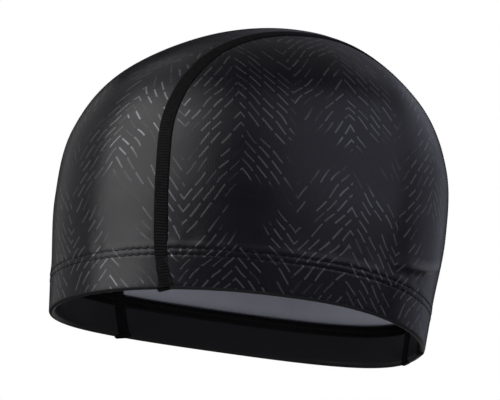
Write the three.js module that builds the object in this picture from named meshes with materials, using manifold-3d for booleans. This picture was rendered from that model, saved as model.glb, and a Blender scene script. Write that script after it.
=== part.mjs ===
// A swim cap sewn from three panels of coated stretch cloth, in the form it has on a head.
// Millimetres. +Z is up, the forehead faces -Y and the wearer's left is +X.
// The origin is the middle of the head opening, level with the cap's edge.

import * as THREE from 'three';
import Module from 'manifold-3d';

// The worn cap
const capLength = 196;       // forehead to nape, where it is longest
const capWidth = 156;        // ear to ear, where it is widest
const capHeight = 156.5;     // edge to crown
const edgeDip = 2.6;         // the edge hangs this much lower at front and back, and rises so at the ears
const crownBack = 0.15;      // how far behind the middle the crown lies, in half lengths
const planSquareness = 2.2;  // seen from above, 2 is an ellipse and more is squarer

// The cloth, its turned-up hem and its seams
const wall = 1.2;            // thickness of one layer of coated cloth
const hemHeight = 22;        // how far the edge is turned up inside
const hemGap = 0.3;          // air between the hem and the panel it is turned up against
const seamWidth = 7;         // the flat covered seam, across
const seamProud = 0.4;       // how far its threads stand out of the cloth
const pieceGap = 0.3;        // air between a seam and the panels beside it

// How long the model's facets are
const facetAround = 7.7;
const facetUp = 16.5;
const facetUpHem = 6.5;
const facetAlongSeam = 8;

// Level sections of the cap, from the edge to the crown. Height is a share of capHeight, reach to
// the front and to the back are shares of half of capLength, and side is one of half of capWidth.
const sections = [
  { height: 0.00, front: 0.960, back: 0.940, side: 0.940 },
  { height: 0.17, front: 0.980, back: 0.965, side: 0.980 },
  { height: 0.37, front: 1.000, back: 1.000, side: 1.000 },
  { height: 0.58, front: 0.955, back: 0.980, side: 0.950 },
  { height: 0.77, front: 0.755, back: 0.835, side: 0.800 },
  { height: 0.93, front: 0.335, back: 0.520, side: 0.480 },
  { height: 1.00, front: -crownBack, back: crownBack, side: 0.000 },
];
const crownLevel = sections.length - 1;

// Route of the left seam over the cap, from the temple over the crown to the nape.
// Angle is in degrees round from the forehead, and level counts the sections above the edge.
const seamRoute = [
  { angle: 56.7, level: 0.00 },
  { angle: 54.8, level: 0.45 },
  { angle: 53.8, level: 0.90 },
  { angle: 52.9, level: 1.90 },
  { angle: 52.2, level: 2.80 },
  { angle: 53.8, level: 3.60 },
  { angle: 58.5, level: 4.35 },
  { angle: 71.0, level: 4.78 },
  { angle: 94.0, level: 5.00 },
  { angle: 120.0, level: 4.93 },
  { angle: 140.0, level: 4.66 },
  { angle: 153.0, level: 4.26 },
  { angle: 162.0, level: 3.48 },
  { angle: 167.0, level: 2.50 },
  { angle: 170.0, level: 1.30 },
  { angle: 171.8, level: 0.00 },
];
const routeEnd = seamRoute.length - 1;

// Equal steps from one number to another, both included.
function spread(from, to, steps) {
  return Array.from({ length: steps + 1 }, (_, step) => from + (to - from) * step / steps);
}

// How many steps of about a length it takes to cover a distance.
function stepsIn(distance, step) {
  return Math.max(1, Math.round(distance / step));
}

// The place between low and high where a steady function reaches the target.
function solve(valueAt, target, low, high) {
  const halvings = 40;
  for (let turn = 0; turn < halvings; turn++) {
    const middle = (low + high) / 2;
    if (valueAt(middle) < target) low = middle;
    else high = middle;
  }
  return (low + high) / 2;
}

// Smooth curve through a column of a table, which would go on to the given value past its end.
function smooth(values, beyond, position) {
  const last = values.length - 1;
  const start = Math.min(Math.max(Math.floor(position), 0), last - 1);
  const part = position - start;
  const before = start === 0 ? 2 * values[0] - values[1] : values[start - 1];
  const after = start + 2 > last ? beyond : values[start + 2];
  const [from, to] = [values[start], values[start + 1]];
  return from + 0.5 * part * (to - before
    + part * (2 * before - 5 * from + 4 * to - after + part * (3 * (from - to) + after - before)));
}

// Past the crown the surface goes down the other side, so the front's reach runs on into the back's.
const nearCrown = sections[crownLevel - 1];
const beyondCrown = {
  height: nearCrown.height,
  front: -nearCrown.back,
  back: -nearCrown.front,
  side: -nearCrown.side,
};

function sectionShare(column, level) {
  return smooth(sections.map((row) => row[column]), beyondCrown[column], level);
}

// A cosine or sine that draws a squared-off oval instead of a circle.
function rounded(value) {
  return Math.sign(value) * Math.abs(value) ** (2 / planSquareness);
}

// The cap's outer face at an angle round from the forehead, in radians, and a level.
function capPoint(angle, level) {
  const lengthwise = rounded(Math.cos(angle));
  const reach = lengthwise > 0 ? -sectionShare('front', level) : sectionShare('back', level);
  const along = crownBack + (reach - crownBack) * Math.abs(lengthwise);
  const dip = edgeDip * Math.cos(2 * angle) * (1 - (level / crownLevel) ** 2) ** 4;
  return new THREE.Vector3(
    sectionShare('side', level) * capWidth / 2 * rounded(Math.sin(angle)),
    along * capLength / 2,
    sectionShare('height', level) * capHeight - dip,
  );
}

// How the face runs there: around the cap and up it per unit of angle and level, and outward.
function capSlopes(angle, level) {
  const small = 0.001;
  const slope = (ahead, behind) => ahead.sub(behind).divideScalar(2 * small);
  const around = slope(capPoint(angle + small, level), capPoint(angle - small, level));
  const up = slope(capPoint(angle, level + small), capPoint(angle, level - small));
  const outward = level < crownLevel
    ? new THREE.Vector3().crossVectors(around, up).normalize()
    : new THREE.Vector3(0, 0, 1);
  return { around, up, outward };
}

// A point in the cloth, at a depth inward from the outer face.
function clothPoint(angle, level, depth) {
  const { outward } = capSlopes(angle, level);
  return capPoint(angle, level).addScaledVector(outward, -depth);
}

function levelAtHeight(height) {
  const belowEdge = -1;
  return solve((level) => sectionShare('height', level) * capHeight, height, belowEdge, crownLevel);
}

// Places that divide a curve into equal steps of about the given length, in order along it.
function evenPlaces(pointAt, from, to, step) {
  const samples = spread(from, to, 400);
  const points = samples.map(pointAt);
  const run = [0];
  for (let index = 1; index < points.length; index++) {
    run.push(run[index - 1] + points[index].distanceTo(points[index - 1]));
  }
  const length = run.at(-1);
  return spread(0, length, stepsIn(length, step)).map((distance) => {
    const index = Math.max(1, run.findIndex((reached) => reached >= distance));
    const share = (distance - run[index - 1]) / (run[index] - run[index - 1]);
    return samples[index - 1] + share * (samples[index] - samples[index - 1]);
  });
}

// Heights from the top of the fold to the top of the hem.
const foldRadius = wall + hemGap / 2;
const hemHeights = spread(foldRadius, hemHeight, stepsIn(hemHeight, facetUpHem));

// The lower edge of the cloth, down the outside, round the fold and up to the hem's top, for a face
// that lies the given distance in from the outer one.
function turnedEdge(inset) {
  const faceRadius = foldRadius - inset;
  const stepsRoundFold = 4;
  const down = hemHeights.toReversed().map((height) => ({ height, depth: inset }));
  const round = spread(0, Math.PI, stepsRoundFold).slice(1, -1).map((turn) => ({
    height: foldRadius - faceRadius * Math.sin(turn),
    depth: foldRadius - faceRadius * Math.cos(turn),
  }));
  const up = hemHeights.map((height) => ({ height, depth: foldRadius + faceRadius }));
  return [...down, ...round, ...up];
}

// Joins rings of points into one closed solid, closed at each end by a fan to a point.
function loft(firstPoint, rings, lastPoint) {
  const count = rings[0].length;
  const points = [firstPoint, ...rings.flat(), lastPoint];
  const at = (ring, place) => 1 + ring * count + place % count;
  const faces = [];
  for (let place = 0; place < count; place++) {
    faces.push(0, at(0, place), at(0, place + 1));
    for (let ring = 0; ring + 1 < rings.length; ring++) {
      faces.push(at(ring, place), at(ring + 1, place), at(ring + 1, place + 1));
      faces.push(at(ring, place), at(ring + 1, place + 1), at(ring, place + 1));
    }
    faces.push(points.length - 1, at(rings.length - 1, place + 1), at(rings.length - 1, place));
  }
  const geometry = new THREE.BufferGeometry().setFromPoints(points);
  geometry.setIndex(faces);
  return geometry;
}

function middleOf(ring) {
  const sum = ring.reduce((total, point) => total.add(point), new THREE.Vector3());
  return sum.divideScalar(ring.length);
}

// The whole cap in one closed wall, hem included, before it is divided into panels.
function wholeCap() {
  const sidePoint = (level) => capPoint(Math.PI / 2, level);
  const levels = evenPlaces(sidePoint, crownLevel, levelAtHeight(hemHeight), facetUp).slice(1, -1);
  const edgeRow = ({ height, depth }) => ({ level: levelAtHeight(height), depth });
  const rows = [
    ...levels.map((level) => ({ level, depth: 0 })),
    ...turnedEdge(0).map(edgeRow),
    ...turnedEdge(wall).map(edgeRow).reverse(),
    ...levels.map((level) => ({ level, depth: wall })).reverse(),
  ];
  const quarters = 4;
  const quarterSteps = stepsIn(Math.PI / 2 * (capLength + capWidth) / quarters, facetAround);
  const angles = spread(0, 2 * Math.PI, quarters * quarterSteps).slice(0, -1);
  const rings = rows.map(({ level, depth }) => angles.map((angle) => clothPoint(angle, level, depth)));
  return loft(clothPoint(0, crownLevel, 0), rings, clothPoint(0, crownLevel, wall));
}

// The route's angle and level at a position along its table.
function routeAt(position) {
  const value = (column) => {
    const values = seamRoute.map((row) => row[column]);
    return smooth(values, 2 * values[routeEnd] - values[routeEnd - 1], position);
  };
  return { angle: THREE.MathUtils.degToRad(value('angle')), level: value('level') };
}

function routePoint(position) {
  const { angle, level } = routeAt(position);
  return capPoint(angle, level);
}

const highestLevel = Math.max(...seamRoute.map((row) => row.level));
const routeTop = seamRoute.findIndex((row) => row.level === highestLevel);

// The position on the route at a height above the edge, on its front or its back leg.
function routeAtHeight(height, frontLeg) {
  const pastEdge = 1;
  const outerEnd = frontLeg ? -pastEdge : routeEnd + pastEdge;
  return solve((position) => routeAt(position).level, levelAtHeight(height), outerEnd, routeTop);
}

// Positions along the route from the hem's top at the temple to its top at the nape, both left out.
function positionsOverCap() {
  const [start, end] = [true, false].map((frontLeg) => routeAtHeight(hemHeight, frontLeg));
  return evenPlaces(routePoint, start, end, facetAlongSeam).slice(1, -1);
}

// A point of the left seam: a position on the route, a distance across it and a depth in the cloth.
function seamPoint(position, across, depth) {
  const small = 0.01;
  const { angle, level } = routeAt(position);
  const direction = routePoint(position + small).sub(routePoint(position - small));
  const { around, up, outward } = capSlopes(angle, level);
  const sideways = new THREE.Vector3().crossVectors(direction, outward).normalize().multiplyScalar(across);
  const upCross = new THREE.Vector3().crossVectors(up, outward);
  const aroundCross = new THREE.Vector3().crossVectors(outward, around);
  return clothPoint(
    angle + sideways.dot(upCross) / around.dot(upCross),
    level + sideways.dot(aroundCross) / up.dot(aroundCross),
    depth,
  );
}

// One ring of the seam's section. Corner is its place across, in seam widths, and its depth.
function seamRing(place, corners) {
  return corners.map(({ across, face }) => seamPoint(place.position, across * seamWidth, place.depths[face]));
}

// The seam follows the cloth: up inside the hem, round the fold, over the crown and back round.
function seamBand() {
  const faces = { inner: wall, outer: 0, crest: -seamProud };
  const edges = Object.entries(faces).map(([face, inset]) => ({ face, rows: turnedEdge(inset) }));
  const depthsAt = (index) => Object.fromEntries(edges.map(({ face, rows }) => [face, rows[index].depth]));
  const endPlaces = (frontLeg) => edges[0].rows.map((row, index) => ({
    position: routeAtHeight(row.height, frontLeg),
    depths: depthsAt(index),
  }));
  const front = endPlaces(true).reverse();
  const back = endPlaces(false);
  const between = positionsOverCap().map((position) => ({ position, depths: faces }));
  const corners = [
    { across: -0.50, face: 'inner' },
    { across: 0.50, face: 'inner' },
    { across: 0.50, face: 'outer' },
    { across: 0.25, face: 'crest' },
    { across: -0.25, face: 'crest' },
    { across: -0.50, face: 'outer' },
  ];
  const rings = [...front, ...between, ...back].map((place) => seamRing(place, corners));
  return loft(middleOf(rings[0]), rings, middleOf(rings.at(-1)));
}

// The slot that the seam lies in, which reaches through every layer and past the edge. It turns at
// the same positions as the seam, so that the gap between them stays even.
function seamSlot() {
  const reach = 2 * wall;
  const slotWidth = seamWidth + 2 * pieceGap;
  const outer = -seamProud - reach;
  const inner = 2 * wall + hemGap + reach;
  const heights = [-reach, ...hemHeights];
  const positions = [
    ...heights.map((height) => routeAtHeight(height, true)),
    ...positionsOverCap(),
    ...heights.toReversed().map((height) => routeAtHeight(height, false)),
  ];
  const rings = positions.map((position) => [
    seamPoint(position, -slotWidth / 2, inner),
    seamPoint(position, slotWidth / 2, inner),
    seamPoint(position, slotWidth / 2, outer),
    seamPoint(position, -slotWidth / 2, outer),
  ]);
  return loft(middleOf(rings[0]), rings, middleOf(rings.at(-1)));
}

// The same shape on the wearer's other side.
function mirrored(geometry) {
  const copy = geometry.clone().scale(-1, 1, 1);
  copy.setIndex(Array.from(geometry.index.array).reverse());
  return copy;
}

const wasm = await Module();
wasm.setup();

function toSolid(geometry) {
  return new wasm.Manifold(new wasm.Mesh({
    numProp: 3,
    vertProperties: new Float32Array(geometry.attributes.position.array),
    triVerts: new Uint32Array(geometry.index.array),
  }));
}

function toGeometry(solid) {
  const mesh = solid.getMesh();
  const geometry = new THREE.BufferGeometry();
  geometry.setAttribute('position', new THREE.BufferAttribute(mesh.vertProperties, 3));
  geometry.setIndex(new THREE.BufferAttribute(mesh.triVerts, 1));
  return geometry;
}

// The whole wall cut along both seams, as three panels from the wearer's right to the left.
function panels(slot) {
  const parts = toSolid(wholeCap()).subtract(toSolid(slot)).subtract(toSolid(mirrored(slot))).decompose();
  const middleX = (solid) => {
    const box = solid.boundingBox();
    return (box.min[0] + box.max[0]) / 2;
  };
  return parts.sort((one, other) => middleX(one) - middleX(other)).map(toGeometry);
}

function coatedCloth() {
  return new THREE.MeshStandardMaterial({ color: 0x1c1c20, roughness: 0.45, metalness: 0 });
}

function seamThread() {
  return new THREE.MeshStandardMaterial({ color: 0x0b0b0c, roughness: 0.8, metalness: 0 });
}

const swimCap = new THREE.Group();

function addPiece(name, geometry, material) {
  geometry.computeVertexNormals();
  const piece = new THREE.Mesh(geometry, material);
  piece.name = name;
  swimCap.add(piece);
}

const [rightPanel, middlePanel, leftPanel] = panels(seamSlot());
addPiece('centre_panel', middlePanel, coatedCloth());
addPiece('side_panel_left', leftPanel, coatedCloth());
addPiece('side_panel_right', rightPanel, coatedCloth());

const leftSeam = seamBand();
addPiece('seam_left', leftSeam, seamThread());
addPiece('seam_right', mirrored(leftSeam), seamThread());

export default swimCap;
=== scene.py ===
import math

import bpy
import numpy as np
from mathutils import Matrix, Vector


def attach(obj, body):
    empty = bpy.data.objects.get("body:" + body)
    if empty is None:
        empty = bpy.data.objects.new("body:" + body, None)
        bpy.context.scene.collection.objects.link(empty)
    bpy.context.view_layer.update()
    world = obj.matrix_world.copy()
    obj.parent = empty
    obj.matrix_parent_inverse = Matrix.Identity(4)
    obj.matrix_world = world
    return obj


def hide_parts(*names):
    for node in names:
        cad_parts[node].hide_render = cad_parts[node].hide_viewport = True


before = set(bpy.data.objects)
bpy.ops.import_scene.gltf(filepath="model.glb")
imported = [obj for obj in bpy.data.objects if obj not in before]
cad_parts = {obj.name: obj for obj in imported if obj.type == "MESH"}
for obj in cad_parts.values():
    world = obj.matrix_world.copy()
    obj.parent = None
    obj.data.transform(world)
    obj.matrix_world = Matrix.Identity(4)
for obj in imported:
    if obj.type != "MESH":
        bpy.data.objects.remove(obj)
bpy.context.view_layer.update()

MM = 0.001

# The worn cap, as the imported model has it
CAP_LENGTH = 196
CAP_WIDTH = 156
CAP_HEIGHT = 156.5
EDGE_DIP = 2.6
CROWN_BACK = 0.15
PLAN_SQUARENESS = 2.2
WALL = 1.2
HEM_HEIGHT = 22
HEM_GAP = 0.3
SEAM_WIDTH = 7
FOLD_RADIUS = WALL + HEM_GAP / 2

# Level sections from the edge to the crown, as shares of the height, of half the length and of half
# the width: height, reach to front, to back and to the side
SECTIONS = np.array([
    (0.00, 0.960, 0.940, 0.940),
    (0.17, 0.980, 0.965, 0.980),
    (0.37, 1.000, 1.000, 1.000),
    (0.58, 0.955, 0.980, 0.950),
    (0.77, 0.755, 0.835, 0.800),
    (0.93, 0.335, 0.520, 0.480),
    (1.00, -CROWN_BACK, CROWN_BACK, 0.000),
])
HEIGHT, FRONT, BACK, SIDE = range(4)
CROWN_LEVEL = len(SECTIONS) - 1

# The left seam's route from the temple over the crown to the nape: angle in degrees, and level
SEAM_ROUTE = np.array([
    (56.7, 0.00), (54.8, 0.45), (53.8, 0.90), (52.9, 1.90), (52.2, 2.80), (53.8, 3.60),
    (58.5, 4.35), (71.0, 4.78), (94.0, 5.00), (120.0, 4.93), (140.0, 4.66),
    (153.0, 4.26), (162.0, 3.48), (167.0, 2.50), (170.0, 1.30), (171.8, 0.00),
])
ROUTE_END = len(SEAM_ROUTE) - 1

# How fine the meshes are: steps in millimetres, and counts
STEP_CLOTH = 1.5
STEP_STITCHED = 0.6
STEP_LINING = 2.6
STEP_SEAM = 0.45
STITCHED_ZONE = (15.0, 23.4)  # heights of the hem's stitching, which has the finer mesh
STITCHED_MARGIN = 0.3
STITCHED_RISE = 0.42          # from one row of the finer mesh to the next
PANEL_HEM_ROWS = 16
PANEL_FOLD_STEPS = 10
SEAM_HEM_ROWS = 44
SEAM_FOLD_STEPS = 11
SEAM_CREST_POINTS = 15
STITCH_POINTS = 9
LOOPER_POINTS = 8             # for each stitch
THREAD_SIDES = 6

# Where the centre panel's rows turn from level to straight across, as positions on the route
FRONT_TURN = (4.8, 9.4)
BACK_TURN = (7.6, 10.6)

# The seam's cover of threads, its bars and the web between the panels' edges
PANEL_EDGE = 1.5              # the panels reach to this far from the seam's middle line
WEB = 1.1                     # half width of the threads between them
COVER_CLEAR = 0.05            # between the cloth and the cover on it
COVER_RISE = 0.315
BAR_PITCH = 1.4
BAR_RELIEF = 0.24
BAR_SLANT = 0.25
SCALLOP = 0.03                # how much the bars stand out at the cover's sides
NEEDLE_RISE = 0.10            # the lines of needle thread near the cover's sides
NEEDLE_PLACE = 0.80
NEEDLE_REACH = 0.09
INSIDE_CLEAR = 0.02
INSIDE_RISE = 0.32            # the threads on the lining
INSIDE_RISE_IN_HEM = 0.10
SEAM_PAST_HEM = 0.6           # how far the seam ends above the hem's inner edge
FLARE = 0.32                  # how much wider the seam is at the edge
FLARE_HEIGHT = 4.5

# The hem's two rows of stitches, and how they draw the cloth in
STITCH_HEIGHTS = (16.4, 19.4)
STITCH_PITCH = 3.7
STITCH_LENGTH = 2.9
THREAD_RADIUS = 0.16
THREAD_TAPER = 0.35           # how much thinner a stitch is at its ends
THREAD_DIVE = 2.4             # how far its ends go down into the cloth, in radii
THREAD_CLEAR = 0.03
GROOVE = 0.09
GROOVE_REACH = 0.75
HOLE = 0.16
HOLE_REACH_UP = 0.55
HOLE_REACH_ALONG = 0.60
SWELL = 0.04                  # how the cloth rises between two holes, beside the row
SWELL_PLACE = 1.1
SWELL_REACH = 0.6

# The looper thread inside the hem
LOOPER_RADIUS = 0.15
LOOPER_OFFSETS = (0.0, 0.25, 0.5, 0.75)
LOOPER_SQUARENESS = 2.2
LOOPER_WEAVE = 0.5            # how far it goes in and out, in radii
LOOPER_BELOW = 0.4            # how far it goes below the lower row of stitches
LOOPER_ABOVE = 0.5            # and above the hem's raw edge

# How the hem's second layer lifts the cloth, and the puckers above it
LAYER_RISE = 0.30
LAYER_END = HEM_HEIGHT + 0.4
LAYER_REACH = 0.45
PUCKER_RISE = 0.10
PUCKER_HEIGHT = 23
PUCKER_REACH = 3.5
PUCKER_WAVES = 37
PUCKER_DRIFT = 1.3
PUCKER_DRIFT_WAVES = 11

# The slack fold over the hem near the nape: angle, height and share of its full rise
FOLD_LINE = np.array([
    (120, 26.0, 0), (130, 28.0, 0.8), (141, 31.0, 1), (155, 37.5, 0.9), (163, 41.0, 0),
])
FOLD_RISE = 1.10
FOLD_REACH_ABOVE = 6.0
FOLD_REACH_BELOW = 1.4

# The materials: pairs of colours that a noise mixes, and the print's one colour, which the painted
# highlight on the slack fold uses too
COAT = ((0.0038, 0.0038, 0.0058, 1), (0.0064, 0.0064, 0.0096, 1))
BARE_COAT = ((0.0080, 0.0080, 0.0095, 1), (0.0125, 0.0125, 0.0140, 1))
PRINT_AND_FOLD_HIGHLIGHT = (0.165, 0.165, 0.174, 1)
LINING = ((0.34, 0.34, 0.40, 1), (0.40, 0.40, 0.465, 1))
BARS = ((0.0008, 0.0008, 0.0010, 1), (0.009, 0.009, 0.010, 1))
THREAD = ((0.002, 0.002, 0.0022, 1), (0.007, 0.007, 0.0075, 1))
FLOOR = ((0.80, 0.80, 0.80, 1), (0.84, 0.84, 0.84, 1))
WALE = 0.7                    # the knit's loops, across and up, in millimetres
COURSE = 0.55
COURSE_RELIEF = 0.6           # the courses' relief as a share of the wales'

# The camera, in degrees, millimetres and pixels of the photograph
CAMERA_AZIMUTH = 79.0
CAMERA_ELEVATION = -15.05
CAMERA_ROLL = 5.6
CAMERA_DISTANCE = 1328.8
TARGET_ASIDE = -0.75
TARGET_HEIGHT = 67.0
FOCAL_PIXELS = 2647.5
IMAGE_WIDTH = 500
SENSOR_WIDTH = 36

# The studio, in metres
ROOM_GREY = (0.025, 0.025, 0.026, 1)
WHITE = (1, 1, 1, 1)
FLOOR_HEIGHT = -2.6
FLOOR_REACH = 20.0
FLOOR_LIGHT = 0.8
FLOOR_LAMP_RISE = 1.2
LIGHT_DISTANCE = 1.3
NEUTRAL = (1.0, 1.0, 1.0)
COOL = (0.96, 0.97, 1.20)
SOFTBOXES = (
    # name, azimuth and elevation, reach across and up, radiance, colour, shows in the gloss
    ("key", (-56, 20.5), (22, 29.5), 1.80, NEUTRAL, True),
    ("key_side", (-24, 26), (9, 22), 0.90, NEUTRAL, True),
    ("left_dim", (-119, 13), (29, 27), 0.25, NEUTRAL, True),
    ("left_top", (-92, 58), (26, 14), 0.25, NEUTRAL, True),
    ("right_dim", (48, 29.5), (31, 26), 0.47, COOL, True),
    ("right_rim", (122, 20), (30, 23), 0.24, COOL, True),
    ("right_top", (137, 47), (34, 19), 0.13, COOL, True),
    ("top", (180, 71), (30, 9), 0.15, NEUTRAL, True),
    ("zenith", (180, 92), (30, 12), 0.06, NEUTRAL, True),
    ("behind", (160, -12), (24, 12), 0.32, NEUTRAL, True),
    ("below", (58, -15), (14, 8), 4.2, NEUTRAL, False),
    ("below_left", (-58, -15), (14, 8), 3.5, NEUTRAL, False),
)


# Shape of the cap

def smooth(values, beyond, position):
    """A smooth curve through a column of a table, which would go on to a given value past its end."""
    position = np.asarray(position, float)
    last = len(values) - 1
    padded = np.concatenate([[2 * values[0] - values[1]], values, [beyond]])
    start = np.clip(np.floor(position).astype(int), 0, last - 1)
    part = position - start
    before, here, there, after = (padded[start + step] for step in range(4))
    bend = 2 * before - 5 * here + 4 * there - after + part * (3 * (here - there) + after - before)
    return here + 0.5 * part * (there - before + part * bend)


def section_share(column, level):
    near = SECTIONS[-2]
    beyond = {HEIGHT: near[HEIGHT], FRONT: -near[BACK], BACK: -near[FRONT], SIDE: -near[SIDE]}
    return smooth(SECTIONS[:, column], beyond[column], level)


def height_at(level):
    """Height of a level where the edge's dip is left out."""
    return section_share(HEIGHT, level) * CAP_HEIGHT


def rounded(value):
    """A cosine or sine that draws a squared-off oval instead of a circle."""
    return np.sign(value) * np.abs(value) ** (2 / PLAN_SQUARENESS)


def cap_point(angle, level):
    """A point on the cap's outer face."""
    lengthwise = rounded(np.cos(angle))
    reach = np.where(lengthwise > 0, -section_share(FRONT, level), section_share(BACK, level))
    along = CROWN_BACK + (reach - CROWN_BACK) * np.abs(lengthwise)
    dip = EDGE_DIP * np.cos(2 * angle) * (1 - (level / CROWN_LEVEL) ** 2) ** 4
    return np.stack([
        section_share(SIDE, level) * CAP_WIDTH / 2 * rounded(np.sin(angle)),
        along * CAP_LENGTH / 2,
        height_at(level) - dip,
    ], axis=-1)


def unit(vectors):
    return vectors / np.linalg.norm(vectors, axis=-1, keepdims=True)


def to_map(angle, level):
    """A flat map of the cap with the crown at its middle and the edge at radius 1."""
    radius = 1 - level / CROWN_LEVEL
    return radius * np.sin(angle), -radius * np.cos(angle)


def from_map(across, along):
    return np.arctan2(across, -along), CROWN_LEVEL * (1 - np.hypot(across, along))


def cloth_point(angle, level, depth):
    """A point in the cloth, at a depth inward from its outer face."""
    small = 0.001
    across, along = to_map(angle, level)
    rightward = cap_point(*from_map(across + small, along)) - cap_point(*from_map(across - small, along))
    backward = cap_point(*from_map(across, along + small)) - cap_point(*from_map(across, along - small))
    outward = unit(np.cross(rightward, backward))
    return cap_point(angle, level) - outward * np.asarray(depth)[..., None]


LEVEL_TABLE = np.linspace(-0.6, CROWN_LEVEL, 6001)
HEIGHT_TABLE = height_at(LEVEL_TABLE)


def level_at_height(height):
    return np.interp(height, HEIGHT_TABLE, LEVEL_TABLE)


def run_of(points):
    """Distance run along a line of points, from its first."""
    return np.concatenate([[0], np.cumsum(np.linalg.norm(np.diff(points, axis=0), axis=1))])


def even_places(point_at, start, end, step):
    """Values from start to end whose points lie a step apart."""
    samples = np.linspace(start, end, 2001)
    run = run_of(point_at(samples))
    count = max(2, round(run[-1] / step) + 1)
    return np.interp(np.linspace(0, run[-1], count), run, samples)


def ease(value, start, end):
    share = np.clip((value - start) / (end - start), 0, 1)
    return share * share * (3 - 2 * share)


# Routes of the seams

def route_at(position):
    """Angle and level on the left seam's middle line, at a position that counts the route's rows."""
    ends = 2 * SEAM_ROUTE[-1] - SEAM_ROUTE[-2]
    angle, level = (smooth(SEAM_ROUTE[:, column], ends[column], position) for column in range(2))
    return np.radians(angle), level


def seam_place(position, across):
    """Angle and level of a point beside the left seam's middle line, a distance to its outer side."""
    small = 0.004
    angle, level = route_at(position)
    direction = cap_point(*route_at(position + small)) - cap_point(*route_at(position - small))
    around = (cap_point(angle + small, level) - cap_point(angle - small, level)) / (2 * small)
    up = (cap_point(angle, level + small) - cap_point(angle, level - small)) / (2 * small)
    outward = unit(np.cross(around, up))
    sideways = unit(np.cross(direction, outward)) * np.asarray(across)[..., None]
    up_cross = np.cross(up, outward)
    around_cross = np.cross(outward, around)
    shift = [(sideways * cross).sum(-1) / (slope * cross).sum(-1)
             for slope, cross in ((around, up_cross), (up, around_cross))]
    return angle + shift[0], level + shift[1]


class SeamLine:
    """The line a given distance to the left seam's outer side, looked up by position or by level."""

    def __init__(self, across):
        self.position = np.linspace(-0.5, ROUTE_END + 0.5, 3001)
        self.angle, self.level = seam_place(self.position, np.full(self.position.shape, across))
        self.top = int(self.level.argmax())

    def at(self, position):
        return (np.interp(position, self.position, self.angle),
                np.interp(position, self.position, self.level))

    def position_at(self, level, front):
        """Where the line crosses a level, on its front leg or its back leg."""
        if front:
            leg = slice(0, self.top + 1)
            return np.interp(level, self.level[leg], self.position[leg])
        leg = slice(self.top, None)
        return np.interp(-level, -self.level[leg], self.position[leg])


seam_middle = SeamLine(0.0)
side_edge = SeamLine(PANEL_EDGE)
centre_edge = SeamLine(-PANEL_EDGE)


# The cloth's relief

RING_ANGLES = np.linspace(0, 2 * np.pi, 7201)


def stitch_ring(height):
    """A row of stitches round the hem: how many there are, and how many are passed at each angle."""
    run = run_of(cap_point(RING_ANGLES, np.full(RING_ANGLES.shape, level_at_height(height))))
    count = round(run[-1] / STITCH_PITCH)
    return {"height": height, "count": count, "passed": run / run[-1] * count}


stitch_rings = [stitch_ring(height) for height in STITCH_HEIGHTS]


def bell(distance, reach):
    return np.exp(-(distance / reach) ** 2)


def stitch_relief(angle, height):
    """How deep the stitches draw the cloth in, at an angle and a height on the hem."""
    angle = np.mod(angle, 2 * np.pi)
    depth = np.zeros(np.broadcast(angle, height).shape)
    for ring in stitch_rings:
        from_row = height - ring["height"]
        passed = np.interp(angle, RING_ANGLES, ring["passed"])
        from_hole = (passed - np.round(passed)) * STITCH_PITCH
        between_holes = 0.5 - 0.5 * np.cos(2 * np.pi * passed)
        depth += GROOVE * bell(from_row, GROOVE_REACH)
        depth += HOLE * bell(from_row, HOLE_REACH_UP) * bell(from_hole, HOLE_REACH_ALONG)
        depth -= SWELL * between_holes * bell(np.abs(from_row) - SWELL_PLACE, SWELL_REACH)
    return depth


def cloth_relief(angle, height):
    """The cloth's small folds and puckers, as a depth from the smooth form."""
    layer = LAYER_RISE / (1 + np.exp((height - LAYER_END) / LAYER_REACH))
    drift = PUCKER_DRIFT * np.sin(angle * PUCKER_DRIFT_WAVES)
    wave = PUCKER_RISE * np.sin(angle * PUCKER_WAVES + drift)
    pucker = wave * bell(height - PUCKER_HEIGHT, PUCKER_REACH)
    from_forehead = np.degrees(np.where(np.mod(angle, 2 * np.pi) > np.pi, -angle, angle)) % 360
    fold_angle, fold_height, fold_share = FOLD_LINE.T
    above_fold = height - np.interp(from_forehead, fold_angle, fold_height)
    reach = np.where(above_fold > 0, FOLD_REACH_ABOVE, FOLD_REACH_BELOW)
    fold = FOLD_RISE * np.interp(from_forehead, fold_angle, fold_share) * bell(above_fold, reach)
    return stitch_relief(angle, height) - layer + pucker - fold


# Meshes

def placed(name, data):
    """A new object in the scene."""
    made = bpy.data.objects.new(name, data)
    bpy.context.scene.collection.objects.link(made)
    return made


def mesh_object(name, points, faces, materials, face_materials=None, uv=None):
    """A smooth-shaded mesh from points in millimetres."""
    mesh = bpy.data.meshes.new(name)
    mesh.from_pydata((np.asarray(points) * MM).tolist(), [], faces)
    for material in materials:
        mesh.materials.append(material)
    mesh.polygons.foreach_set("use_smooth", [True] * len(mesh.polygons))
    if face_materials is not None:
        mesh.polygons.foreach_set("material_index", np.asarray(face_materials, np.int32))
    if uv is not None:
        layer = mesh.uv_layers.new(name="cloth_mm")
        corners = np.empty(len(mesh.loops), np.int32)
        mesh.loops.foreach_get("vertex_index", corners)
        layer.data.foreach_set("uv", np.asarray(uv, np.float32)[corners].ravel())
    mesh.validate()
    mesh.update()
    return placed(name, mesh)


def mirrored_copy(piece, name):
    """The same piece on the wearer's other side."""
    mesh = piece.data.copy()
    mesh.transform(Matrix.Scale(-1, 4, (1, 0, 0)))
    mesh.flip_normals()
    return placed(name, mesh)


def zip_rows(first, first_share, second, second_share):
    """Triangles between two lines of vertices that may have different counts."""
    faces = []
    one, two = 0, 0
    while one + 1 < len(first) or two + 1 < len(second):
        next_one = first_share[one + 1] if one + 1 < len(first) else math.inf
        next_two = second_share[two + 1] if two + 1 < len(second) else math.inf
        if next_one <= next_two:
            faces.append((first[one], first[one + 1], second[two]))
            one += 1
        else:
            faces.append((first[one], second[two + 1], second[two]))
            two += 1
    return faces


def flipped(faces):
    return [face[::-1] for face in faces]


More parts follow.
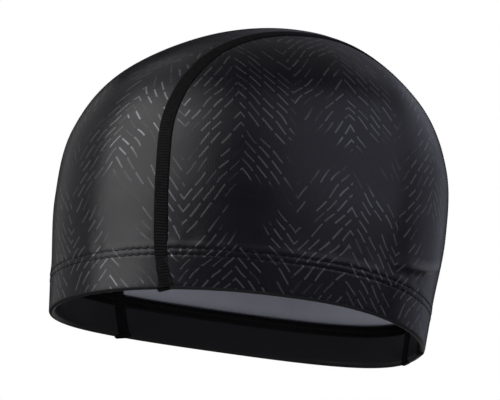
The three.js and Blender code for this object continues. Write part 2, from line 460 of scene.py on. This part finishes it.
def tube_faces(rings, sides):
    """Faces of a closed tube, between its rings and at its two ends."""
    faces = []
    for ring in range(rings - 1):
        here, there = ring * sides, (ring + 1) * sides
        for place in range(sides):
            after = (place + 1) % sides
            faces.append((here + place, here + after, there + after, there + place))
    last = (rings - 1) * sides
    faces.append(tuple(range(sides))[::-1])
    faces.append(tuple(range(last, last + sides)))
    return faces


# The panels

# A panel's materials, by their place in its list
PRINTED, LINED, BARE = range(3)


class Sheet:
    """A closed sheet of cloth: rows of points on its right side and on its wrong side."""

    def __init__(self):
        self.points = []
        self.uv = []
        self.count = 0
        self.rows = []
        self.faces = []
        self.face_materials = []

    def add_line(self, points, run_up):
        """The line's vertices, and each one's share of the way along it, from -1 to 1."""
        run = run_of(points)
        self.points.append(points)
        self.uv.append(np.stack([run - run[-1] / 2, np.full(len(points), run_up)], axis=-1))
        vertices = np.arange(self.count, self.count + len(points))
        self.count += len(points)
        return vertices, run / run[-1] * 2 - 1

    def add_row(self, right_side, wrong_side, run_up, printed):
        self.rows.append((self.add_line(right_side, run_up), self.add_line(wrong_side, run_up), printed))

    def add_faces(self, faces, material):
        self.faces.extend(faces)
        self.face_materials.extend([material] * len(faces))

    def build(self, name, materials):
        for row, next_row in zip(self.rows, self.rows[1:]):
            right, wrong, printed = row
            next_right, next_wrong, next_printed = next_row
            self.add_faces(zip_rows(*right, *next_right), PRINTED if printed and next_printed else BARE)
            self.add_faces(flipped(zip_rows(*wrong, *next_wrong)), LINED)
            for end in (0, -1):
                wall = [(right[0][end], next_right[0][end], next_wrong[0][end]),
                        (right[0][end], next_wrong[0][end], wrong[0][end])]
                self.add_faces(wall if end == 0 else flipped(wall), LINED)
        first, last = (zip_rows(*right, *wrong) for right, wrong, _ in (self.rows[0], self.rows[-1]))
        self.add_faces(flipped(first), BARE)
        self.add_faces(last, BARE)
        return mesh_object(name, np.concatenate(self.points), np.array(self.faces).tolist(), materials,
                           self.face_materials, np.concatenate(self.uv))


def edge_rows(inside, fold_steps, outside):
    """Rows of the turned-up edge: heights down its inside, turns round its fold, heights up outside."""
    fold = np.linspace(math.pi, 0, fold_steps + 1)[1:-1]
    return [(kind, value) for kind, values in (("inside", inside), ("fold", fold), ("outside", outside))
            for value in values]


def edge_place(kind, value, inset):
    """Height and depth of a row of the turned-up edge, on a face that lies so far in."""
    if kind == "inside":
        return value, 2 * FOLD_RADIUS - inset
    if kind == "fold":
        return (FOLD_RADIUS - (FOLD_RADIUS - inset) * math.sin(value),
                FOLD_RADIUS - (FOLD_RADIUS - inset) * math.cos(value))
    return value, inset


def panel_edge_rows():
    inside = np.linspace(HEM_HEIGHT, FOLD_RADIUS, PANEL_HEM_ROWS)
    plain = np.arange(FOLD_RADIUS, STITCHED_ZONE[0], STEP_CLOTH)
    stitched = np.arange(*STITCHED_ZONE, STITCHED_RISE)
    return edge_rows(inside, PANEL_FOLD_STEPS, np.concatenate([plain, stitched]))


def step_along(kind, value):
    """How far apart a row's points are."""
    low, high = STITCHED_ZONE
    fine = kind == "outside" and low - STITCHED_MARGIN < value < high + STITCHED_MARGIN
    return STEP_STITCHED if fine else STEP_CLOTH


def row_points(line, place, depth, step, relief):
    """Points of a row, evenly spaced. line gives angle and level at shares from -1 to 1."""
    rough = np.linspace(-1, 1, 241)
    run = run_of(cap_point(*line(place, rough)))
    count = max(5, int(round(run[-1] / step)) + 1)
    angle, level = line(place, np.interp(np.linspace(0, run[-1], count), run, rough))
    if relief:
        depth = depth + cloth_relief(angle, height_at(level))
    return cloth_point(angle, level, np.broadcast_to(depth, angle.shape))


def hem_rows(place_at, front):
    """A panel's rows on its turned-up edge: place and depth of both sides, step, relief, print."""
    rows = []
    for kind, value in panel_edge_rows():
        sides = []
        for inset in (0, WALL):
            height, depth = edge_place(kind, value, inset)
            sides.append((place_at(level_at_height(height), front), depth))
        rows.append((sides, step_along(kind, value), kind != "inside", kind == "outside"))
    return rows


def build_panel(name, line, place_at, upper_places, back_hem, materials):
    """A panel from its hem up, and where back_hem is true down to the hem on its far side."""
    rows = hem_rows(place_at, True)
    rows += [([(place, 0), (place, WALL)], STEP_CLOTH, True, True) for place in upper_places]
    if back_hem:
        rows += hem_rows(place_at, False)[::-1]
    sheet = Sheet()
    run_up = 0
    previous = None
    for (right, wrong), step, relief, printed in rows:
        right_side = row_points(line, *right, step, relief)
        wrong_side = row_points(line, *wrong, STEP_LINING, False)
        middle = right_side[len(right_side) // 2]
        run_up += 0 if previous is None else float(np.linalg.norm(middle - previous))
        previous = middle
        sheet.add_row(right_side, wrong_side, run_up, printed)
    return sheet.build(name, materials)


def side_line(level, shares):
    """A level row of the left side panel, from its front seam to its back seam."""
    front = side_edge.at(side_edge.position_at(level, True))[0]
    back = side_edge.at(side_edge.position_at(level, False))[0]
    angle = front + (back - front) * (shares + 1) / 2
    return angle, np.full(angle.shape, float(level))


def side_places():
    """Levels of the side panel's rows above the hem, which crowd together under its pointed top."""
    side_middle = 1.6
    under_top = 0.0004
    loose, crowded = 8, 26
    bottom = level_at_height(STITCHED_ZONE[1])
    top = side_edge.level[side_edge.top] - under_top
    places = even_places(lambda level: cap_point(np.full(level.shape, side_middle), level),
                         bottom, top, STEP_CLOTH)
    last_places = top - (top - places[-loose]) * np.linspace(1, 0, crowded) ** 2
    return np.concatenate([places[:-loose], last_places])


def centre_line(position, shares):
    """A row of the centre panel: level at the hems, and straight across at the crown."""
    nearly_straight = 1e-5
    angle, level = centre_edge.at(position)
    end_across, end_along = to_map(angle, level)
    radius = 1 - level / CROWN_LEVEL
    level_bow_front = -radius * (1 - math.cos(angle))
    level_bow_back = radius * (1 + math.cos(angle))
    bow = (level_bow_front * (1 - ease(position, *FRONT_TURN))
           + level_bow_back * ease(position, *BACK_TURN))
    if abs(bow) < nearly_straight:
        bow = nearly_straight
    bend_radius = (end_across ** 2 + bow ** 2) / (2 * abs(bow))
    half_angle = math.asin(min(1, end_across / bend_radius))
    if abs(bow) > end_across:
        half_angle = math.pi - half_angle
    turn = shares * half_angle
    across = bend_radius * np.sin(turn)
    along = end_along + math.copysign(bend_radius, bow) * (np.cos(turn) - math.cos(half_angle))
    return from_map(across, along)


def centre_places():
    """Positions of the centre panel's rows above the hems, even on its middle and its edge together."""
    hem_level = level_at_height(STITCHED_ZONE[1])
    start, end = (centre_edge.position_at(hem_level, front) for front in (True, False))
    samples = np.linspace(start, end, 1201)
    middle = np.array([cap_point(*centre_line(position, np.zeros(1)))[0] for position in samples])
    edge = cap_point(*centre_edge.at(samples))
    run = (run_of(middle) + run_of(edge)) / 2
    count = int(run[-1] / STEP_CLOTH)
    return np.interp(np.linspace(0, run[-1], count), run, samples)


# The seams

def seam_section():
    """The seam's section as a closed loop: across in half widths, and the face that each point is on."""
    web = WEB / (SEAM_WIDTH / 2)
    crest = [(share, "crest") for share in np.linspace(-1, 1, SEAM_CREST_POINTS)]
    outer = [(1, "cover"), (web, "cover"), (web, "under"), (1, "under")]
    inside = [(share, "inside") for share in (1, 0.5, 0, -0.5, -1)]
    return crest + outer + inside + [(-share, face) for share, face in outer[::-1]]


def seam_inset(face, share, run, in_hem):
    """How far in from the cap's outer face a point of the section lies."""
    if face == "crest":
        body = (1 - share ** 4) ** 0.5
        bar = abs(math.sin(math.pi * (run / BAR_PITCH + BAR_SLANT * share))) - 0.5
        needle = NEEDLE_RISE * math.exp(-((abs(share) - NEEDLE_PLACE) / NEEDLE_REACH) ** 2)
        return -(COVER_CLEAR + (COVER_RISE + BAR_RELIEF * bar) * body + needle)
    if face == "cover":
        return -COVER_CLEAR
    if face == "under":
        return WALL + INSIDE_CLEAR
    return WALL + INSIDE_CLEAR + (INSIDE_RISE_IN_HEM if in_hem else INSIDE_RISE)


def seam_rows():
    """The seam's rows from inside the hem at the temple over the crown to inside the hem at the nape."""
    inside = np.linspace(HEM_HEIGHT + SEAM_PAST_HEM, FOLD_RADIUS, SEAM_HEM_ROWS)
    leg = edge_rows(inside, SEAM_FOLD_STEPS, np.linspace(FOLD_RADIUS, HEM_HEIGHT, SEAM_HEM_ROWS))
    hem_level = level_at_height(HEM_HEIGHT)
    start, end = (seam_middle.position_at(hem_level, front) for front in (True, False))
    route = even_places(lambda position: cap_point(*route_at(position)), start, end, STEP_SEAM)[1:-1]
    return ([(kind, value, True) for kind, value in leg] + [("route", value, None) for value in route]
            + [(kind, value, False) for kind, value in leg[::-1]])


def seam_row_place(kind, value, front, inset):
    """Position on the route, height and depth of a row, on a face that lies so far in."""
    if kind == "route":
        return value, float(height_at(route_at(value)[1])), inset
    height, depth = edge_place(kind, value, inset)
    return seam_middle.position_at(level_at_height(height), front), height, depth


def build_seam(name, material):
    rows = seam_rows()
    middles = []
    for row in rows:
        position, _, depth = seam_row_place(*row, 0)
        middles.append(cloth_point(*route_at(position), depth))
    run = run_of(np.array(middles))
    section = seam_section()
    places = []
    for (kind, value, front), distance in zip(rows, run):
        bar_width = SCALLOP * math.cos(2 * math.pi * distance / BAR_PITCH)
        for share, face in section:
            inset = seam_inset(face, share, distance, kind != "route")
            position, height, depth = seam_row_place(kind, value, front, inset)
            flare = 0 if kind == "inside" else FLARE * math.exp(-(max(height, 0) / FLARE_HEIGHT) ** 2)
            scallop = bar_width if face in ("crest", "cover") else 0
            places.append((position, share * SEAM_WIDTH / 2 * (1 + flare + scallop), depth))
    position, across, depth = np.array(places).T
    points = cloth_point(*seam_place(position, across), depth)
    across_mm = [share * SEAM_WIDTH / 2 for share, _ in section]
    uv = np.stack([np.tile(across_mm, len(rows)), np.repeat(run, len(section))], axis=-1)
    return mesh_object(name, points, tube_faces(len(rows), len(section)), [material], uv=uv)


# The threads of the hem

def tube(path, radius):
    """Points and faces of a closed tube along a path, with one radius or one for each point."""
    nearly_up = (0.13, 0.21, 1.0)
    radii = np.broadcast_to(radius, (len(path),))
    tangent = unit(np.gradient(path, axis=0))
    side = unit(np.cross(tangent, nearly_up))
    other = np.cross(side, tangent)
    turn = np.linspace(0, 2 * np.pi, THREAD_SIDES, endpoint=False)[None, :, None]
    circles = side[:, None] * np.cos(turn) + other[:, None] * np.sin(turn)
    rings = path[:, None] + radii[:, None, None] * circles
    return rings.reshape(-1, 3), tube_faces(len(path), THREAD_SIDES)


def joined(name, tubes, material):
    """One mesh of many tubes."""
    faces = []
    count = 0
    for points, own_faces in tubes:
        faces += [tuple(vertex + count for vertex in face) for face in own_faces]
        count += len(points)
    return mesh_object(name, np.concatenate([points for points, _ in tubes]), faces, [material])


def build_stitches(name, material):
    """The two rows of stitches on the hem, whose ends go down through the cloth."""
    share = np.linspace(-1, 1, STITCH_POINTS)
    reach = STITCH_LENGTH / STITCH_PITCH / 2
    rise = THREAD_RADIUS * (1 - THREAD_DIVE * share ** 4) + THREAD_CLEAR
    radius = THREAD_RADIUS * (1 - THREAD_TAPER * share ** 4)
    tubes = []
    for ring in stitch_rings:
        level = level_at_height(ring["height"])
        for index in range(ring["count"]):
            angle = np.interp(index + 0.5 + share * reach, ring["passed"], RING_ANGLES)
            depth = stitch_relief(angle, ring["height"]) - LAYER_RISE - rise
            tubes.append(tube(cloth_point(angle, level, depth), radius))
    return joined(name, tubes, material)


def build_looper(name, material):
    """The looper thread inside the hem, which crosses between the two rows and over the raw edge."""
    ring = stitch_rings[0]
    passed = np.linspace(0, ring["count"], ring["count"] * LOOPER_POINTS, endpoint=False)
    angle = np.interp(passed, ring["passed"], RING_ANGLES)
    low = STITCH_HEIGHTS[0] - LOOPER_BELOW
    high = HEM_HEIGHT + LOOPER_ABOVE
    tubes = []
    for offset in LOOPER_OFFSETS:
        turn = 2 * np.pi * (passed + offset)
        wave = np.tanh(LOOPER_SQUARENESS * np.sin(turn)) / np.tanh(LOOPER_SQUARENESS)
        height = (low + high) / 2 + (high - low) / 2 * wave
        depth = 2 * FOLD_RADIUS + LOOPER_RADIUS * (1 + LOOPER_WEAVE * np.cos(turn))
        path = cloth_point(angle, level_at_height(height), depth)
        tubes.append(tube(np.concatenate([path, path[:1]]), LOOPER_RADIUS))
    return joined(name, tubes, material)


# Materials

class Nodes:
    """Short calls for a material's nodes."""

    def __init__(self, name):
        self.material = bpy.data.materials.new(name)
        self.material.use_nodes = True
        self.tree = self.material.node_tree
        self.shader = self.tree.nodes["Principled BSDF"]

    def node(self, kind, **values):
        made = self.tree.nodes.new(kind)
        for key, value in values.items():
            setattr(made, key, value)
        return made

    def feed(self, value, socket):
        if isinstance(value, bpy.types.NodeSocket):
            self.tree.links.new(value, socket)
        else:
            socket.default_value = value

    def feed_all(self, values, sockets):
        for value, socket in zip(values, sockets):
            self.feed(value, socket)

    def math(self, operation, *values):
        made = self.node("ShaderNodeMath", operation=operation)
        self.feed_all(values, made.inputs)
        return made.outputs[0]

    def mix(self, share, first, second):
        made = self.node("ShaderNodeMix", data_type="RGBA")
        self.feed_all((share, first, second), (made.inputs[0], made.inputs[6], made.inputs[7]))
        return made.outputs[2]

    def between(self, value, low, high, to_low=0.0, to_high=1.0, kind="SMOOTHSTEP"):
        made = self.node("ShaderNodeMapRange", interpolation_type=kind)
        self.feed_all((value, low, high, to_low, to_high), made.inputs)
        return made.outputs[0]

    def noise(self, vector, scale, detail=2.0):
        made = self.node("ShaderNodeTexNoise")
        self.feed(vector, made.inputs["Vector"])
        self.feed(scale, made.inputs["Scale"])
        self.feed(detail, made.inputs["Detail"])
        return made.outputs[0]

    def combine(self, x, y, z=0.0):
        made = self.node("ShaderNodeCombineXYZ")
        self.feed_all((x, y, z), made.inputs)
        return made.outputs[0]

    def split(self, vector):
        made = self.node("ShaderNodeSeparateXYZ")
        self.feed(vector, made.inputs[0])
        return made.outputs[:3]

    def bump(self, height, distance, strength=1.0):
        made = self.node("ShaderNodeBump")
        self.feed(strength, made.inputs["Strength"])
        self.feed(distance, made.inputs["Distance"])
        self.feed(height, made.inputs["Height"])
        return made.outputs[0]

    def set(self, **values):
        for key, value in values.items():
            self.feed(value, self.shader.inputs[key.replace("_", " ")])


def object_coordinates(n):
    return n.node("ShaderNodeTexCoord").outputs["Object"]


def cloth_coordinates(n):
    """Places on the cloth, across and up, in millimetres."""
    return n.split(n.node("ShaderNodeUVMap", uv_map="cloth_mm").outputs[0])[:2]


def knit_bump(n, u, v, distance):
    """Fine ribs of knitted loops."""
    wale = n.math("SINE", n.math("MULTIPLY", u, 2 * math.pi / WALE))
    course = n.math("SINE", n.math("MULTIPLY", v, 2 * math.pi / COURSE))
    return n.bump(n.math("ADD", wale, n.math("MULTIPLY", course, COURSE_RELIEF)), distance)


def twist_bump(n):
    """The fine grain of twisted thread."""
    return n.bump(n.noise(object_coordinates(n), scale=2600.0), distance=0.0001, strength=0.6)


def herringbone(n, u, v):
    """Short printed dashes in columns that slant to the left and to the right by turns."""
    column_width = 27.0
    columns_beside = 40
    pitch = 3.7
    period = 9.5
    slant = math.radians(52)
    wander_reach = 14.0
    row_offset = 0.382
    line_side = (0.080, 0.120)
    dash_end = (0.36, 0.42)
    patch_side = (0.39, 0.53)
    faintest_to_strongest = (0.10, 0.85)
    column = n.math("FLOOR", n.math("DIVIDE", u, column_width))
    from_first = n.math("ADD", u, columns_beside * column_width)
    in_column = n.math("SUBTRACT", n.math("MODULO", from_first, column_width), column_width / 2)
    odd = n.math("ABSOLUTE", n.math("MODULO", column, 2.0))
    sign = n.math("SUBTRACT", n.math("MULTIPLY", odd, 2.0), 1.0)
    wander = n.math("SUBTRACT", n.noise(n.combine(u, v), scale=0.035, detail=1.0), 0.5)
    warped = n.math("ADD", v, n.math("MULTIPLY", wander, wander_reach))
    run = n.math("ADD", n.math("MULTIPLY", in_column, math.cos(slant)),
                 n.math("MULTIPLY", n.math("MULTIPLY", warped, sign), math.sin(slant)))
    rise = n.math("SUBTRACT", n.math("MULTIPLY", warped, math.cos(slant)),
                  n.math("MULTIPLY", n.math("MULTIPLY", in_column, sign), math.sin(slant)))
    rows_up = n.math("DIVIDE", rise, pitch)
    row = n.math("FLOOR", rows_up)
    offset = n.math("MULTIPLY", n.math("FRACT", n.math("MULTIPLY", row, row_offset)), period)
    shifted = n.math("DIVIDE", n.math("ADD", run, offset), period)
    dash = n.math("FLOOR", shifted)
    white = n.node("ShaderNodeTexWhiteNoise", noise_dimensions="3D")
    n.feed(n.combine(row, dash, column), white.inputs[0])
    from_line = n.math("ABSOLUTE", n.math("SUBTRACT", n.math("FRACT", rows_up), 0.5))
    from_middle = n.math("ABSOLUTE", n.math("SUBTRACT", n.math("FRACT", shifted), 0.5))
    thin = n.between(from_line, *line_side, 1.0, 0.0)
    long = n.between(from_middle, *dash_end, 1.0, 0.0)
    patch = n.between(n.noise(n.combine(u, v, 7.0), scale=0.022), *patch_side)
    strength = n.math("MULTIPLY", n.between(white.outputs[0], *faintest_to_strongest), patch)
    return n.math("MULTIPLY", n.math("MULTIPLY", thin, long), strength)


def painted_fold_highlight(n, place):
    """A painted highlight: the upper side of the slack fold near the nape, painted lighter and metallic
    where light would catch it.
    """
    # How strong the painted highlight is at its fullest
    full_painted_highlight = 0.50
    fold_angle, fold_height, _ = FOLD_LINE.T
    line_points = cap_point(np.radians(fold_angle), level_at_height(fold_height)) * MM
    _, far, middle, _, near = ((float(x), float(z)) for x, _, z in line_points)
    x, y, z = n.split(place)
    aside = n.math("ABSOLUTE", x)
    line = n.math("ADD", n.between(aside, middle[0], far[0], middle[1], far[1], "LINEAR"),
                  n.between(aside, near[0], middle[0], near[1] - middle[1], 0.0, "LINEAR"))
    above = n.math("SUBTRACT", z, line)
    painted_highlight = full_painted_highlight
    # A place in metres, where its share starts to change and where it ends, and the share at each
    for value, low, high, to_low, to_high in (
        (above, -0.0005, 0.0018, 0.0, 1.0),
        (above, 0.0015, 0.0065, 1.0, 0.0),
        (aside, 0.022, 0.040, 0.0, 1.0),
        (aside, 0.050, 0.064, 1.0, 0.0),
        (y, 0.050, 0.060, 0.0, 1.0),
    ):
        painted_highlight = n.math("MULTIPLY", painted_highlight, n.between(value, low, high, to_low, to_high))
    return painted_highlight


def coated_cloth(name, printed):
    """Near-black cloth with a smooth semi-gloss coat, through which its fine knit just shows."""
    n = Nodes(name)
    u, v = cloth_coordinates(n)
    place = object_coordinates(n)
    tone = n.noise(place, scale=22.0, detail=3.0)
    if printed:
        smoothest = 0.26
        # The print's dashes and the painted highlight on the slack fold, both mixed towards the print's
        # colour and made metallic
        share = n.math("MAXIMUM", herringbone(n, u, v), painted_fold_highlight(n, place))
        colour = n.mix(share, n.mix(tone, *COAT), PRINT_AND_FOLD_HIGHLIGHT)
        n.set(Metallic=share)
    else:
        smoothest = 0.40
        colour = n.mix(tone, *BARE_COAT)
    uneven = n.noise(place, scale=60.0, detail=3.0)
    rough = n.between(uneven, 0.3, 0.7, smoothest, smoothest + 0.06)
    n.set(Base_Color=colour, Roughness=rough, Specular_IOR_Level=0.5,
          Normal=knit_bump(n, u, v, distance=0.000006))
    return n.material


def lining():
    """The matt knitted wrong side of the cloth."""
    n = Nodes("lining")
    u, v = cloth_coordinates(n)
    colour = n.mix(n.noise(object_coordinates(n), scale=35.0, detail=3.0), *LINING)
    n.set(Base_Color=colour, Roughness=0.85, Specular_IOR_Level=0.25,
          Normal=knit_bump(n, u, v, distance=0.00006))
    return n.material


def seam_cover():
    """The cover stitch's threads: bars across the seam, each a little lighter than the gaps."""
    n = Nodes("seam_cover")
    u, v = cloth_coordinates(n)
    slanted = n.math("ADD", n.math("DIVIDE", v, BAR_PITCH),
                     n.math("MULTIPLY", u, BAR_SLANT * 2 / SEAM_WIDTH))
    bar = n.math("ABSOLUTE", n.math("SINE", n.math("MULTIPLY", slanted, math.pi)))
    uneven = n.noise(object_coordinates(n), scale=500.0)
    shade = n.math("MULTIPLY", n.between(bar, 0.45, 0.95), n.between(uneven, 0.25, 0.65, 0.35, 1.0))
    n.set(Base_Color=n.mix(shade, *BARS), Roughness=0.6, Normal=twist_bump(n), Specular_IOR_Level=0.10)
    return n.material


def thread():
    """The black thread of the stitches and the looper."""
    n = Nodes("thread")
    colour = n.mix(n.noise(object_coordinates(n), scale=900.0), *THREAD)
    n.set(Base_Color=colour, Roughness=0.72, Normal=twist_bump(n), Specular_IOR_Level=0.12)
    return n.material


# Camera, lights and floor

def camera():
    """The photograph's view of the cap."""
    azimuth = math.radians(CAMERA_AZIMUTH)
    elevation = math.radians(CAMERA_ELEVATION)
    roll = math.radians(CAMERA_ROLL)
    right = Vector((math.cos(azimuth), math.sin(azimuth), 0))
    back = Vector((math.sin(azimuth) * math.cos(elevation), -math.cos(azimuth) * math.cos(elevation),
                   math.sin(elevation)))
    up = back.cross(right)
    target = right * (TARGET_ASIDE * MM) + Vector((0, 0, TARGET_HEIGHT * MM))
    tilted_right = right * math.cos(roll) + up * math.sin(roll)
    tilted_up = up * math.cos(roll) - right * math.sin(roll)
    data = bpy.data.cameras.new("camera")
    data.sensor_width = SENSOR_WIDTH
    data.lens = FOCAL_PIXELS / IMAGE_WIDTH * SENSOR_WIDTH
    data.clip_start, data.clip_end = 0.05, 50
    made = placed("camera", data)
    turned = Matrix((tilted_right, tilted_up, back)).transposed().to_4x4()
    made.matrix_world = Matrix.Translation(target + back * CAMERA_DISTANCE * MM) @ turned
    bpy.context.scene.camera = made
    return right, back, target


def softbox(view, name, towards, reach, radiance, colour, in_gloss):
    """A soft light seen from the cap at an azimuth right of the camera and an elevation, in degrees,
    which reaches so many degrees to each side and up and down."""
    right, back, target = view
    azimuth, elevation = (math.radians(angle) for angle in towards)
    level_back = Vector((back.x, back.y, 0)).normalized()
    level = level_back * math.cos(azimuth) + right * math.sin(azimuth)
    direction = level * math.cos(elevation) + Vector((0, 0, math.sin(elevation)))
    width, height = (2 * LIGHT_DISTANCE * math.tan(math.radians(angle)) for angle in reach)
    data = bpy.data.lights.new(name, "AREA")
    data.shape = "RECTANGLE"
    data.size, data.size_y = width, height
    data.energy = radiance * math.pi * width * height
    data.color = colour
    made = placed(name, data)
    made.location = target + direction * LIGHT_DISTANCE
    made.rotation_euler = (-direction).to_track_quat("-Z", "Y").to_euler()
    made.visible_camera = False
    made.visible_glossy = in_gloss


def studio(view):
    """A white backdrop for the camera, a dim grey room round the cap, and the softboxes."""
    scene = bpy.context.scene
    scene.view_settings.view_transform = "Standard"
    world = bpy.data.worlds.new("studio")
    scene.world = world
    world.use_nodes = True
    tree = world.node_tree
    path = tree.nodes.new("ShaderNodeLightPath")
    mix = tree.nodes.new("ShaderNodeMix")
    mix.data_type = "RGBA"
    mix.inputs[6].default_value = ROOM_GREY
    mix.inputs[7].default_value = WHITE
    tree.links.new(path.outputs["Is Camera Ray"], mix.inputs[0])
    tree.links.new(mix.outputs[2], tree.nodes["Background"].inputs["Color"])
    for box in SOFTBOXES:
        softbox(view, *box)


def floor():
    """A plain pale floor far below the cap, and a lamp as wide as the floor that lights it evenly."""
    n = Nodes("floor")
    n.set(Base_Color=n.mix(n.noise(object_coordinates(n), scale=3.0), *FLOOR), Roughness=0.8)
    mesh = bpy.data.meshes.new("floor")
    corners = ((-1, -1), (1, -1), (1, 1), (-1, 1))
    mesh.from_pydata([(x * FLOOR_REACH, y * FLOOR_REACH, FLOOR_HEIGHT) for x, y in corners],
                     [], [(0, 1, 2, 3)])
    mesh.materials.append(n.material)
    made = placed("floor", mesh)
    made.visible_glossy = False
    data = bpy.data.lights.new("floor_light", "AREA")
    data.size = 2 * FLOOR_REACH
    data.energy = FLOOR_LIGHT * math.pi * data.size ** 2
    lamp = placed("floor_light", data)
    lamp.location = (0, 0, FLOOR_HEIGHT + FLOOR_LAMP_RISE)
    lamp.visible_camera = False


studio(camera())
floor()

panel_materials = [coated_cloth("coated_cloth", True), lining(),
                   coated_cloth("bare_coated_cloth", False)]
cover_material = seam_cover()
thread_material = thread()

side_left = build_panel("side_left", side_line, lambda level, front: level, side_places(), False,
                        panel_materials)
side_right = mirrored_copy(side_left, "side_right")
centre = build_panel("centre", centre_line, centre_edge.position_at, centre_places(), True,
                     panel_materials)
left_seam = build_seam("left_seam", cover_material)
right_seam = mirrored_copy(left_seam, "right_seam")
stitches = build_stitches("hem_stitches", thread_material)
looper = build_looper("hem_looper", thread_material)

for piece, node, slot in (
    (centre, "centre_panel", "coated_cloth"),
    (side_left, "side_panel_left", "coated_cloth"),
    (side_right, "side_panel_right", "coated_cloth"),
    (left_seam, "seam_left", "seam_thread"),
    (right_seam, "seam_right", "seam_thread"),
):
    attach(piece, "root")
    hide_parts(node)

for piece in (stitches, looper):
    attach(piece, "root")
